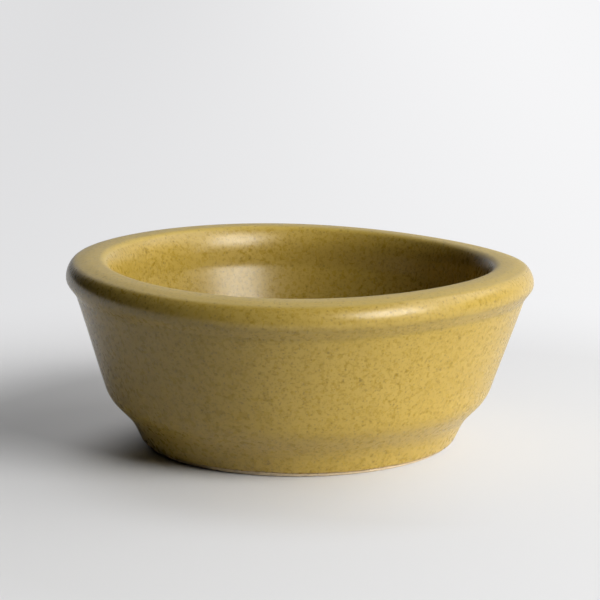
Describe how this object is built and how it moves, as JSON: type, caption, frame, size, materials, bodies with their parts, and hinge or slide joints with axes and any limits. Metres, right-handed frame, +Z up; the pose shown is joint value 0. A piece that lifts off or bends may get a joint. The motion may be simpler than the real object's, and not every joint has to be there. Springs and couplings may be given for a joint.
{
  "type": "ramekin",
  "caption": "Small round stoneware ramekin with a rolled rim, flaring wall and stepped foot, glazed down to a bare foot, for baking and serving a single portion.",
  "frame": {"origin": "on the table under the middle of the rim, at the bottom centre of the bounding box", "axes": "+Z up out of the bowl, +X towards the rim's low side"},
  "size_m": [0.11, 0.11, 0.0442],
  "materials": {
    "bare_stoneware": "unglazed fired clay, matt, pale cream",
    "mustard_glaze": "satin mustard-olive glaze with fine dark iron specks"
  },
  "bodies": {
    "root": {"stoneware_body": "bare_stoneware", "glaze_coat": "mustard_glaze"}
  },
  "joints": []
}
